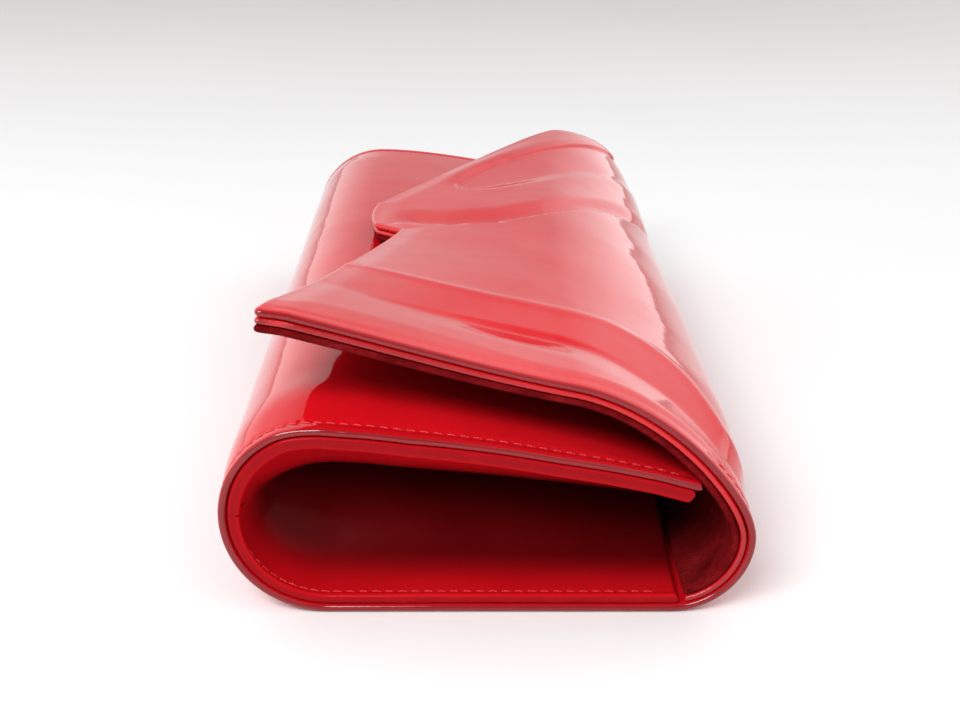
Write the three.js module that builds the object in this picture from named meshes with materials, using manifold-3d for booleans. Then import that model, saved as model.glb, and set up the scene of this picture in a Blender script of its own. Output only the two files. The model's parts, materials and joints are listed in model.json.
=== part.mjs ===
// A patent-leather clutch purse that lies on its back panel, with its flap closed.
// Millimetres, +Z up. X runs along the purse's width, and the "near" end is the one at +X.
// The bottom bend is at -Y, the flap's fold at +Y, and the front panel faces up.
import * as THREE from "three";
import Module from "manifold-3d";
import { mergeVertices } from "three/addons/utils/BufferGeometryUtils.js";

const wasm = await Module();
wasm.setup();

// Driving dimensions.
const WIDTH = 265;
const HALF = WIDTH / 2;
const BEND_RADIUS = 26.5; // outside of the bottom bend, half the purse's thickness
const BEND_Y = -38.5; // centre of the bottom bend
const MOUTH_Y = 51; // free edge of the front panel
const MOUTH_Z_NEAR = 35;
const MOUTH_Z_FAR = 38;
const FOLD_Y = 45; // where the back panel turns up into the fold
const FOLD_RADIUS = 20;
const FOLD_TOP = [44, 54.5]; // where the fold ends and the flap begins
const HINGE_GAP = 0.3; // between two strips that hinge on each other

// Thickness and depth of each layer, measured inwards from the outside of the leather.
const GAP = 0.3;
const SKIN = [0, 1.8];
const BOARD = [SKIN[1] + GAP, 3.5];
const LINING = [BOARD[1] + GAP, 4.7];
const FOLD_FACING = [SKIN[1] + GAP, 3.9];
const FOLD_LINING = [FOLD_FACING[1] + GAP, 5.8];
const FLAP_BOARD = [SKIN[1] + 0.4, 2.9];
const FLAP_FACING = [FLAP_BOARD[1] + 0.4, 4.5];
const FLAP_LINING = [FLAP_FACING[1] + GAP, 5.8];
const POCKET_LIFT = 5;

// How far each layer stops short of the purse's end seams.
const BOARD_INSET = 18;
const LINING_INSET = 22;
const FLAP_INSET = 9;

// End gussets: each is a V of two leaves, pushed into the purse.
const SEAM_WIDTH = 8;
const LEAF = 1.8;
const GUSSET_LINING = [0.6, 1.4]; // inwards from the leaf
const GUSSET_DEPTH = 50;
const CREASE_GAP = 2.2; // from the middle of the V to each leaf's inner face

// Flap outline, seen from above.
const NEAR_TIP_Y = -53;
const NOTCH = [10, -25.5];
const LOBE_START = [0, -34];
const LOBE_TIP = [-14, -35.8];
const LOBE_END = [-26, -34];
const NEAR_LIFT = 21.8; // how far the near lobe springs up at its tip
const FAR_LIFT = 3; // how far the far corner curls up
const FAR_CORNER_X = -50; // where the far corner's curl begins
const FAR_CURL_REACH = 4;
const CROWN = { rise: 5.3, reach: 9, slope: 0.008 }; // how the flap levels off past the fold

const MAGNET_AT = [-8, -12];
const MAGNET_RADIUS = 7;
const KEEPER_RADIUS = 9;

const finishes = {
  patent: { color: 0xc8141f, roughness: 0.12 },
  facing: { color: 0xb51a22, roughness: 0.3 },
  suede: { color: 0x8e2026, roughness: 0.95 },
  lining: { color: 0xa01c24, roughness: 0.9 },
  board: { color: 0xb79a6a, roughness: 0.85 },
  steel: { color: 0x9a9a9c, roughness: 0.35, metalness: 1 },
};

const lerp = THREE.MathUtils.lerp;
const clutch = new THREE.Group();
clutch.name = "clutch_purse";

function add(name, geometry, finish) {
  const mesh = new THREE.Mesh(geometry, new THREE.MeshStandardMaterial(finishes[finish]));
  mesh.name = name;
  clutch.add(mesh);
}

// Evenly spaced values from a to b.
function steps(a, b, count) {
  return Array.from({ length: count + 1 }, (_, i) => lerp(a, b, i / count));
}

// Unit normal of surface(u, v), by central differences.
function normalAt(surface, u, v, step) {
  const du = surface(u + step[0], v).sub(surface(u - step[0], v));
  const dv = surface(u, v + step[1]).sub(surface(u, v - step[1]));
  return du.cross(dv).normalize();
}

// Closed solid between two depths under surface(u, v), on the grid us by vs.
// side is 1 where the surface's normal points out of the purse, and -1 where it points in.
function sheet(surface, us, vs, [top, bottom], side, step = [0.5, 0.002]) {
  const points = [];
  for (const depth of [top, bottom]) {
    for (const u of us) {
      for (const v of vs) {
        const normal = normalAt(surface, u, v, step);
        points.push(surface(u, v).addScaledVector(normal, -side * depth));
      }
    }
  }
  const rows = us.length;
  const columns = vs.length;
  const at = (layer, i, j) => (layer * rows + i) * columns + j;
  const index = [];
  const quad = (a, b, c, d) => {
    if (side > 0) index.push(a, b, c, a, c, d);
    else index.push(a, c, b, a, d, c);
  };
  for (let i = 0; i + 1 < rows; i++) {
    for (let j = 0; j + 1 < columns; j++) {
      quad(at(0, i, j), at(0, i + 1, j), at(0, i + 1, j + 1), at(0, i, j + 1));
      quad(at(1, i, j), at(1, i, j + 1), at(1, i + 1, j + 1), at(1, i + 1, j));
    }
  }
  for (let i = 0; i + 1 < rows; i++) {
    const last = columns - 1;
    quad(at(0, i, 0), at(1, i, 0), at(1, i + 1, 0), at(0, i + 1, 0));
    quad(at(0, i, last), at(0, i + 1, last), at(1, i + 1, last), at(1, i, last));
  }
  for (let j = 0; j + 1 < columns; j++) {
    const last = rows - 1;
    quad(at(0, 0, j), at(0, 0, j + 1), at(1, 0, j + 1), at(1, 0, j));
    quad(at(0, last, j), at(1, last, j), at(1, last, j + 1), at(0, last, j + 1));
  }
  const geometry = new THREE.BufferGeometry().setFromPoints(points);
  geometry.setIndex(index);
  geometry.computeVertexNormals();
  return geometry;
}

// A manifold-3d solid of a closed geometry.
function solid(geometry) {
  const plain = geometry.clone();
  plain.deleteAttribute("normal");
  plain.deleteAttribute("uv");
  const merged = mergeVertices(plain, 1e-4);
  return new wasm.Manifold(
    new wasm.Mesh({
      numProp: 3,
      vertProperties: new Float32Array(merged.attributes.position.array),
      triVerts: new Uint32Array(merged.index.array),
    }),
  );
}

function subtract(geometry, tool) {
  const cut = solid(geometry).subtract(solid(tool)).getMesh();
  const result = new THREE.BufferGeometry();
  result.setAttribute("position", new THREE.BufferAttribute(cut.vertProperties, 3));
  result.setIndex(new THREE.BufferAttribute(cut.triVerts, 1));
  result.computeVertexNormals();
  return result;
}

// Back panel and lower half of the bend, by fraction of length, from the fold to the bend's middle.
const backPath = new THREE.Path();
backPath.moveTo(FOLD_Y, 0);
backPath.lineTo(BEND_Y, 0);
backPath.absarc(BEND_Y, BEND_RADIUS, BEND_RADIUS, -Math.PI / 2, -Math.PI, true);
const BACK_LENGTH = backPath.getLength();

// Upper half of the bend and front panel, from the bend's middle to the mouth, at one x.
function frontPath(x) {
  const mouthZ = lerp(MOUTH_Z_FAR, MOUTH_Z_NEAR, (x + HALF) / WIDTH);
  const top = 2 * BEND_RADIUS;
  const path = new THREE.Path();
  path.absarc(BEND_Y, BEND_RADIUS, BEND_RADIUS, Math.PI, Math.PI / 2, true);
  path.quadraticCurveTo(-10, top, MOUTH_Y, mouthZ);
  return path;
}
const FRONT_LENGTH = frontPath(0).getLength();

// The fold's outside, from the back panel to the flap.
const foldPath = new THREE.Path();
foldPath.moveTo(FOLD_Y, 0);
foldPath.absarc(FOLD_Y, FOLD_RADIUS, FOLD_RADIUS, -Math.PI / 2, 0, false);
foldPath.bezierCurveTo(65, 32, 54, 47, FOLD_TOP[0], FOLD_TOP[1]);
const FOLD_LENGTH = foldPath.getLength();

const toSpace = (x, p) => new THREE.Vector3(x, p.x, p.y);
const clamp01 = (t) => THREE.MathUtils.clamp(t, 0, 1);

// Runs past either end of a path along its tangent, so that a normal can be measured at its ends.
function along(path, t) {
  const inside = clamp01(t);
  const point = path.getPointAt(inside);
  const tangent = path.getTangentAt(inside);
  return point.addScaledVector(tangent, (t - inside) * path.getLength());
}

const backSurface = (x, t) => toSpace(x, along(backPath, t));
const frontSurface = (x, t) => toSpace(x, along(frontPath(x), t));
const foldSurface = (x, t) => toSpace(x, along(foldPath, t));

// Height of the flap's outside above a point of the plan.
function flapHeight(x, y) {
  const reach = FOLD_TOP[0] - y;
  const crown = CROWN.rise * (1 - Math.exp(-reach / CROWN.reach)) - CROWN.slope * reach;
  const u = reach / (FOLD_TOP[0] - NEAR_TIP_Y);
  const spring = u * u * (2 - u);
  const near = NEAR_LIFT * spring * Math.max(0, x / HALF);
  const corner = clamp01((FAR_CORNER_X - x) / (HALF + FAR_CORNER_X));
  const far = FAR_LIFT * corner * corner * (1 - Math.exp(-reach / FAR_CURL_REACH));
  return FOLD_TOP[1] + crown + near + far;
}

// The flap's free edge: a long near lobe, a notch, and a far lobe that sweeps back to the fold.
function freeEdge(x) {
  if (x >= NOTCH[0]) {
    return lerp(NOTCH[1], NEAR_TIP_Y, (x - NOTCH[0]) / (HALF - NOTCH[0]));
  }
  if (x >= LOBE_START[0]) {
    return lerp(LOBE_START[1], NOTCH[1], (x - LOBE_START[0]) / (NOTCH[0] - LOBE_START[0]));
  }
  if (x >= LOBE_END[0]) {
    const across = (x - LOBE_TIP[0]) / (LOBE_START[0] - LOBE_TIP[0]);
    return lerp(LOBE_TIP[1], LOBE_START[1], Math.min(1, across * across));
  }
  const run = LOBE_END[0] - x;
  return LOBE_END[1] + 0.56 * run + 0.0008 * run * run;
}

const FLAP_START = FOLD_TOP[0] - HINGE_GAP;

// The flap's outside at x, t of the way from the fold to the free edge, less an inset.
function flapSurface(inset) {
  return (x, t) => {
    const y = lerp(FLAP_START - inset / 3, freeEdge(x) + inset, t);
    return new THREE.Vector3(x, y, flapHeight(x, y));
  };
}

function flapColumns(inset) {
  const corners = [LOBE_END[0], LOBE_TIP[0], LOBE_START[0], NOTCH[0]];
  const far = steps(-HALF + inset, corners[0], 5).slice(0, -1);
  const near = steps(NOTCH[0], HALF - inset, 6).slice(1);
  return [...far, ...corners, ...near];
}

// Bend steps are close together, and the panels need few.
const BEND_QUARTER = (Math.PI / 2) * BEND_RADIUS;
const BACK_FLAT_END = 1 - BEND_QUARTER / BACK_LENGTH;
const FRONT_BEND_END = BEND_QUARTER / FRONT_LENGTH;
const halfGap = HINGE_GAP / 2;

const backRows = (fromMouth) => [
  fromMouth / BACK_LENGTH,
  ...steps(BACK_FLAT_END, 1 - halfGap / BACK_LENGTH, 8),
];
const frontRows = (fromMouth) => [
  ...steps(halfGap / FRONT_LENGTH, FRONT_BEND_END, 8),
  ...steps(FRONT_BEND_END, 1 - fromMouth / FRONT_LENGTH, 6).slice(1),
];
const acrossWidth = (inset, count) => steps(-HALF + inset, HALF - inset, count);

function addBackPanel() {
  add("back_skin", sheet(backSurface, acrossWidth(0, 1), backRows(halfGap), SKIN, 1), "patent");
  const boardRows = [4 / BACK_LENGTH, BACK_FLAT_END - 2 / BACK_LENGTH];
  add("back_board", sheet(backSurface, acrossWidth(BOARD_INSET, 1), boardRows, BOARD, 1), "board");
  const liningRows = backRows(3);
  add("back_lining", sheet(backSurface, acrossWidth(LINING_INSET, 1), liningRows, LINING, 1), "lining");
}

// Two boards that stiffen the bend, one below its middle and one above.
function addBottomBoards() {
  const arc = (x, degrees) => {
    const angle = THREE.MathUtils.degToRad(degrees);
    const y = BEND_Y + BEND_RADIUS * Math.cos(angle);
    return new THREE.Vector3(x, y, BEND_RADIUS + BEND_RADIUS * Math.sin(angle));
  };
  const spans = { bottom_board_lower: [183, 264], bottom_board_upper: [96, 177] };
  for (const [name, [from, to]] of Object.entries(spans)) {
    const board = sheet(arc, acrossWidth(BOARD_INSET, 1), steps(from, to, 7), BOARD, -1, [0.5, 0.5]);
    add(name, board, "board");
  }
}

function addFrontPanel(keeperHole) {
  const width = acrossWidth(0, 2);
  add("front_skin", sheet(frontSurface, width, frontRows(0), SKIN, 1), "patent");
  const boardRows = steps(FRONT_BEND_END, 1 - 4 / FRONT_LENGTH, 6);
  const board = sheet(frontSurface, acrossWidth(BOARD_INSET, 2), boardRows, BOARD, 1);
  add("front_board", subtract(board, keeperHole), "board");
  const facingFrom = 20;
  const liningWidth = acrossWidth(LINING_INSET, 2);
  const lining = sheet(frontSurface, liningWidth, frontRows(facingFrom), LINING, 1);
  add("front_lining", lining, "lining");
  const facingRows = steps(1 - (facingFrom - GAP) / FRONT_LENGTH, 1 - 1 / FRONT_LENGTH, 2);
  add("mouth_facing", sheet(frontSurface, liningWidth, facingRows, LINING, 1), "facing");
}

// A round disc lying under surface(x, t), between two depths.
function disc(surface, x, t, radius, [top, bottom]) {
  const normal = normalAt(surface, x, t, [0.5, 0.002]);
  if (normal.z < 0) normal.negate();
  const geometry = new THREE.CylinderGeometry(radius, radius, bottom - top, 32);
  const turn = new THREE.Quaternion().setFromUnitVectors(new THREE.Vector3(0, 1, 0), normal);
  const centre = surface(x, t).addScaledVector(normal, -(top + bottom) / 2);
  geometry.applyQuaternion(turn);
  geometry.translate(centre.x, centre.y, centre.z);
  return geometry;
}

// One leaf of a gusset. a runs from the mouth to the middle of the bend, and w from the end seam
// to the crease. end is 1 at the near end and -1 at the far end.
function leafSurface(panel, end, isFront) {
  const crease = new THREE.CubicBezierCurve3(
    new THREE.Vector3(HALF - GUSSET_DEPTH, MOUTH_Y - 6, 18),
    new THREE.Vector3(HALF - GUSSET_DEPTH, -15, 21),
    new THREE.Vector3(HALF - GUSSET_DEPTH, -40, 26),
    new THREE.Vector3(HALF - SEAM_WIDTH - 4, -56, BEND_RADIUS),
  );
  const bond = SKIN[1] + GAP;
  const seamPart = 0.3;
  return (a, w) => {
    const t = isFront ? 1 - a : a;
    const wall = panel(end * HALF, t);
    const outward = normalAt(panel, end * HALF, t, [0.5, 0.002]);
    const rim = wall.clone().addScaledVector(outward, -bond);
    if (w <= seamPart) {
      return rim.setX(end * (HALF - (SEAM_WIDTH * w) / seamPart));
    }
    const seamEnd = rim.setX(end * (HALF - SEAM_WIDTH));
    const fold = crease.getPoint(clamp01(a));
    fold.x *= end;
    fold.z += isFront ? CREASE_GAP : -CREASE_GAP;
    return seamEnd.lerp(fold, (w - seamPart) / (1 - seamPart));
  };
}

function addGusset(endName, end) {
  const ws = [0, 0.15, 0.3, 0.5, 0.75, 1];
  const liningWs = [0.42, 0.6, 0.8, 0.97];
  const leaves = [
    ["back", backSurface, false],
    ["front", frontSurface, true],
  ];
  for (const [leafName, panel, isFront] of leaves) {
    const surface = leafSurface(panel, end, isFront);
    const side = isFront === end > 0 ? 1 : -1;
    const rows = steps(isFront ? 0.012 : 0.004, 0.99, 18);
    const name = endName + "_gusset_" + leafName;
    add(name + "_leaf", sheet(surface, rows, ws, [-LEAF, 0], side, [0.002, 0.002]), "patent");
    const liningRows = steps(0.04, 0.93, 12);
    const lining = sheet(surface, liningRows, liningWs, GUSSET_LINING, side, [0.002, 0.002]);
    add(name + "_lining", lining, "lining");
  }
}

// The fold is three plies, leather, facing and lining, each parted into three strips that hinge.
const FOLD_CUTS = [0, 0.26, 0.55, 1];

function addFold() {
  ["fold_a", "fold_b", "fold_c"].forEach((name, i) => {
    const from = FOLD_CUTS[i] + halfGap / FOLD_LENGTH;
    const to = FOLD_CUTS[i + 1] - halfGap / FOLD_LENGTH;
    const rows = steps(from, to, 5);
    const strip = (inset, depths) => sheet(foldSurface, acrossWidth(inset, 1), rows, depths, -1);
    add(name + "_skin", strip(0, SKIN), "patent");
    add(name + "_facing", strip(0.5, FOLD_FACING), "facing");
    add(name + "_lining", strip(1, FOLD_LINING), "suede");
  });
}

function addFlap(magnetHole) {
  const rows = steps(0, 1, 10).map((t) => t ** 1.5);
  const layer = (inset, depths) =>
    sheet(flapSurface(inset), flapColumns(inset), rows, depths, -1, [0.5, 0.005]);
  add("flap_skin", layer(0, SKIN), "patent");
  add("flap_board", subtract(layer(FLAP_INSET, FLAP_BOARD), magnetHole), "board");
  add("flap_facing", subtract(layer(0.5, FLAP_FACING), magnetHole), "facing");
  add("flap_lining", layer(1, FLAP_LINING), "suede");
}

// The fraction of the flap at x that lies at y.
function flapFraction(x, y) {
  return (y - FLAP_START) / (freeEdge(x) - FLAP_START);
}

function addClosure() {
  const flap = flapSurface(0);
  const t = flapFraction(...MAGNET_AT);
  const magnetSpan = [FLAP_BOARD[0] + 0.1, FLAP_FACING[1]];
  const magnet = disc(flap, MAGNET_AT[0], t, MAGNET_RADIUS, magnetSpan);
  const magnetHole = disc(flap, MAGNET_AT[0], t, MAGNET_RADIUS + 0.5, [1, 6]);
  const keeperT = 0.52;
  const keeperSpan = [BOARD[0] + 0.1, BOARD[1] - 0.1];
  const keeper = disc(frontSurface, MAGNET_AT[0], keeperT, KEEPER_RADIUS, keeperSpan);
  const keeperHole = disc(frontSurface, MAGNET_AT[0], keeperT, KEEPER_RADIUS + 0.5, [1, 5]);
  add("flap_magnet", magnet, "steel");
  add("front_keeper_disc", keeper, "steel");
  return { magnetHole, keeperHole };
}

// A flat pocket on the back lining, bound along its open edge.
function addPocket() {
  const width = 150;
  const low = -32;
  const high = 30;
  const corner = 8;
  const outline = new THREE.Shape();
  outline.moveTo(-width / 2, high);
  outline.lineTo(-width / 2, low + corner);
  outline.absarc(-width / 2 + corner, low + corner, corner, Math.PI, 1.5 * Math.PI, false);
  outline.absarc(width / 2 - corner, low + corner, corner, 1.5 * Math.PI, 2 * Math.PI, false);
  outline.lineTo(width / 2, high);
  const patch = new THREE.ExtrudeGeometry(outline, { depth: 0.8, bevelEnabled: false, curveSegments: 6 });
  patch.translate(0, 0, POCKET_LIFT);
  add("slip_pocket", patch, "lining");
  const binding = new THREE.BoxGeometry(width, 4, 1.2);
  binding.translate(0, high + GAP + 2, POCKET_LIFT + 0.6);
  add("slip_pocket_binding", binding, "facing");
}

const { magnetHole, keeperHole } = addClosure();
addBackPanel();
addBottomBoards();
addFrontPanel(keeperHole);
addGusset("near", 1);
addGusset("far", -1);
addFold();
addFlap(magnetHole);
addPocket();

export default clutch;
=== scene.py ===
import json
import math

import bpy
import numpy as np
from mathutils import Matrix, Vector


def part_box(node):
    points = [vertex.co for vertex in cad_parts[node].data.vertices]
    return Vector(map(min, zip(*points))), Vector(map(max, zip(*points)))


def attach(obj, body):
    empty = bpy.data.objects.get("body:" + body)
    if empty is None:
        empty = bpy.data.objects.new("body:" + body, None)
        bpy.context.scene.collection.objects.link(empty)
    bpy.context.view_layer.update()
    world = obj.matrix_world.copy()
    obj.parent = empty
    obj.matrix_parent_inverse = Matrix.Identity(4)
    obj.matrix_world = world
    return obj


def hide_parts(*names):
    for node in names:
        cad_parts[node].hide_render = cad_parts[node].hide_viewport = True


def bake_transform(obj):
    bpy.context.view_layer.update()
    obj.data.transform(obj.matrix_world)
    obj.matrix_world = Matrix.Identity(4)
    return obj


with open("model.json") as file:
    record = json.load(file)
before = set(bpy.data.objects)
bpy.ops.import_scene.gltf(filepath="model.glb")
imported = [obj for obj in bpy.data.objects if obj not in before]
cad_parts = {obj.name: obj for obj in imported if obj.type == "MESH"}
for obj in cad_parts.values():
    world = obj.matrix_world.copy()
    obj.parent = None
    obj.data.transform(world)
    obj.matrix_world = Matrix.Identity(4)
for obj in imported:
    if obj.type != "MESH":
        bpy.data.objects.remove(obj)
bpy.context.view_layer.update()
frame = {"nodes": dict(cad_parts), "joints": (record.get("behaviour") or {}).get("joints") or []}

# A patent-leather clutch purse. All shapes are worked out in millimetres in the row frame, and MM
# turns them into metres. x runs along the purse, and s is the distance along its outer sheet.
MM = 0.001
RANDOM = np.random.default_rng(11)


def cad(node):
    """Lowest and highest corner of a CAD node, in millimetres."""
    return [np.array(corner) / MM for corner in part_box(node)]


# Driving dimensions, read from the frame.
HALF = round(float(cad("fold_b_skin")[1][0]), 2)
BEND_RADIUS = round(float(cad("front_skin")[1][2]) / 2, 2)
BEND_Y = round(float(cad("front_skin")[0][1]), 2) + BEND_RADIUS
MOUTH_Y = 51.0
MOUTH_Z = (38.0, 35.0)  # at the far end and at the near end
HINGES = [np.array(j["pos_m"]) / MM for j in frame["joints"][:4]]
FOLD_Y = float(HINGES[0][1])
FOLD_TOP = HINGES[3][1:]
FOLD_RADIUS = round(float(cad("fold_b_skin")[1][1]) - FOLD_Y, 2)

# The flap: its height and outline repeat the CAD model's.
FLAP_Y = 20.0  # where the fold's curve runs into the flap
NEAR_TIP_Y = -53.0
NEAR_LIFT = 21.8
FAR_LIFT = 3.0
FAR_CORNER_X = -50.0
NOTCH = (10.0, -25.5)
LOBE = [(-26.0, -34.0), (-14.0, -35.8), (0.0, -34.0)]
NEAR_TIP_RADIUS = 2.2
FAR_TIP_RADIUS = 8.0

# Leather plies, by depth under the outside.
SKIN = (0.0, 1.9)
FACING = (2.2, 3.75)
SUEDE = (3.95, 5.85)
LINING = (4.4, 5.2)
GUSSET_PLY = (2.15, 4.15)
FLAP_BOARD = (1.95, 2.15)
SEAM = 5.0  # straight part of a gusset, beside its rim
GUSSET_DEPTH = 50.0
LINING_INSET = 22.0
FACING_AT_MOUTH = 20.0
STITCH = 3.2  # stitch pitch
STITCH_INSET = 3.4


def smooth(t):
    t = np.clip(t, 0.0, 1.0)
    return t * t * (3 - 2 * t)


def soft_ramp(t, r):
    """0 below 0 and t above it, with a corner of size r."""
    return (np.sqrt(t * t + r * r) + t) / 2


def flap_height(x, y):
    reach = FOLD_TOP[0] - y
    crown = 5.3 * (1 - np.exp(-reach / 9)) - 0.008 * reach
    u = reach / (FOLD_TOP[0] - NEAR_TIP_Y)
    near = NEAR_LIFT * u * u * (2 - u) * soft_ramp(x, 12) / HALF
    corner = np.clip((FAR_CORNER_X - x) / (HALF + FAR_CORNER_X), 0, 1)
    far = FAR_LIFT * corner**2 * (1 - np.exp(-np.maximum(reach, 0) / 4))
    return FOLD_TOP[1] + crown + near + far


def free_edge(x):
    """y of the flap's free edge at x."""
    x = np.asarray(x, float)
    run = LOBE[0][0] - x
    diagonal = LOBE[0][1] + 0.56 * run + 0.0008 * run * run
    far = np.maximum(FAR_TIP_RADIUS - (x + HALF), 0)
    far = FAR_TIP_RADIUS - np.sqrt(np.maximum(FAR_TIP_RADIUS**2 - far**2, 0))
    tip = LOBE[1][1] + (LOBE[2][1] - LOBE[1][1]) * ((x - LOBE[1][0]) / 14) ** 2
    near = np.maximum(x - (HALF - NEAR_TIP_RADIUS), 0)
    near = NEAR_TIP_RADIUS - np.sqrt(np.maximum(NEAR_TIP_RADIUS**2 - near**2, 0))
    lobe = np.interp(x, [LOBE[2][0], NOTCH[0], HALF], [LOBE[2][1], NOTCH[1], NEAR_TIP_Y])
    edge = np.where(x < LOBE[0][0], diagonal + far, np.where(x < 0, tip, lobe + near))
    return edge


def bezier(p, t):
    """Points of the cubic curve with control points p."""
    p = np.asarray(p, float)
    t = np.asarray(t)[:, None]
    u = 1 - t
    return u**3 * p[0] + 3 * u * u * t * p[1] + 3 * u * t * t * p[2] + t**3 * p[3]


# Relief lines that cross the flap near its near end, as (y, x): the crest where the leather
# starts to dip, the valley, and the crest beside the stitched band.
CREST_B = [
    (-60, 52), (-40, 68), (-25, 76), (-14, 81), (-3, 85),
    (12, 88), (27, 91), (37, 96), (49, 104), (60, 114),
]
VALLEY_C = [
    (-60, 84), (-44, 93), (-31, 100), (-19, 102), (-8, 102.5),
    (3, 103.5), (14, 105), (25, 109), (35, 114), (60, 122),
]
CREST_A = [
    (-60, 124), (-50, 122), (-42, 118), (-28, 119),
    (-8, 121.5), (6, 125), (20, 126), (60, 126.5),
]
# How far the front panel's near end is drawn down to its seam, as (s, depth).
NEAR_SINK = [
    (-122, 0), (-110, 0.7), (-98, 1.7), (-86, 2.3), (-74, 3.0), (-62, 3.7), (-45, 3.6),
    (-37, 3.0), (-29, 1.9), (-20, 1.3), (-11, 0.9), (0, 0.6), (25, 0),
]
# Slight bumps in the front panel beside its near end: x, s, the size along each, and the height.
BUMPS = [(116, -36, 6, 4.5, 0.4), (115, -50, 6, 5, 0.35)]
# The leaf-shaped dish beside the far end, and the long valley that runs from the notch to the fold.
DISH_TIP = (-38.0, -9.0)
DISH_WAY = (-0.76, 0.65)
DISH_LENGTH = 34
DISH_HALF_WIDTH = 15.5
DISH_DEPTH = 0.9
VALLEY_FAR = [(-40, 2), (-26, 0), (-14, 4), (2, 2), (17, -8), (37, -29), (60, -52)]


def across(line, y):
    """x at y of a relief line."""
    ys, xs = zip(*line)
    return np.interp(y, ys, xs)


FLAP_S = 219.0  # the sheet's distance where y is FLAP_Y
Y_PER_S = 0.985


def plan_y(s):
    """Rough y on the flap of a distance s along the sheet, used to place its relief."""
    return FLAP_Y - (s - FLAP_S) * Y_PER_S


def near_relief(x, y):
    """The slope from the crest down to the valley, and the low crest between it and the end."""
    b = across(CREST_B, y)
    c = across(VALLEY_C, y)
    a = across(CREST_A, y)
    t = (x - b) / (c - b)
    slope = soft_ramp(t, 0.05) - soft_ramp(t - 1, 0.03)
    drop = 0.9 + 1.9 * smooth((y + 48) / 60)
    ridge = 0.22 * np.exp(-(((x - b) / 2.2) ** 2))
    beside = smooth((x - c + 3.0) / 2.4) * (1 - smooth((x - c) / 12))
    sharp = 0.9 * np.exp(-(((y - 4) / 20) ** 2)) * beside
    band = 0.65
    t = (x - c) / (a - c)
    rise = band * (soft_ramp(t, 0.05) - soft_ramp(t - 1, 0.03))
    fall = band * soft_ramp((x - a) / (HALF - a), 0.05)
    return drop * (1 - slope) + ridge - sharp + rise - fall


def far_relief(x, y):
    """The dish on the far lobe with its ridge, and the long valley beside it."""
    way = np.array(DISH_WAY)
    dx = x - DISH_TIP[0]
    dy = y - DISH_TIP[1]
    run = dx * way[0] + dy * way[1]
    side = dy * way[0] - dx * way[1]
    width = DISH_HALF_WIDTH * roundness(run, DISH_LENGTH)
    inner = smooth((width + side) / 9) * smooth((width - side) / 1.8) * smooth(run / 4)
    ridge = 0.5 * np.exp(-(((side - width - 3.5) / 4.5) ** 2)) * smooth(run / 14)
    v = across(VALLEY_FAR, y)
    step = smooth((x - v + 16) / 15) * (1 - smooth((x - v) / 3.0))
    valley = 1.5 * step * smooth((y + 34) / 12)
    return ridge - DISH_DEPTH * inner - valley


def ripple(x, s):
    """Slight unevenness that any leather panel has."""
    return (
        0.10 * np.sin(x / 17 + s / 29 + 0.3)
        + 0.07 * np.sin(x / 11 - s / 19 + 1.9)
        + 0.03 * np.sin(x / 6.1 + s / 7.7 + 4.1)
    )


def relief(x, s, free_edge_s):
    """How far the sheet stands out of its plain shape, on a flap that ends at free_edge_s."""
    y = plan_y(s)
    on_flap = smooth((s - 150) / 30)
    out = (near_relief(x, y) - 0.35 + far_relief(x, y)) * on_flap
    # The stitched ends and the free edge sink a little, because no board or filler reaches them.
    end = np.minimum(HALF - x, HALF + x)
    out -= 0.3 * on_flap * (1 - smooth((end - 0.5) / 6.0))
    near_s, sink = zip(*NEAR_SINK)
    out -= np.interp(s, near_s, sink) * (1 - smooth((HALF - x - 0.3) / 15.0)) ** 1.2
    edge = free_edge_s - s
    out -= 0.5 * (1 - smooth((edge - 0.5) / 8.0)) * on_flap
    for cx, cs, rx, rs, h in BUMPS:
        out += h * np.exp(-(((x - cx) / rx) ** 2) - ((s - cs) / rs) ** 2)
    # The board keeps the panel flat to just above the bend.
    out += 0.9 * np.exp(-(((s + 30) / 12) ** 2)) * (1 - smooth((np.abs(x) - 114) / 16))
    return out + ripple(x, s) * (0.4 + 0.6 * on_flap)


PAST_FOLD = 600  # points from the bend's middle to where the sheet is above the fold's side
_profiles = {}


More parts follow.
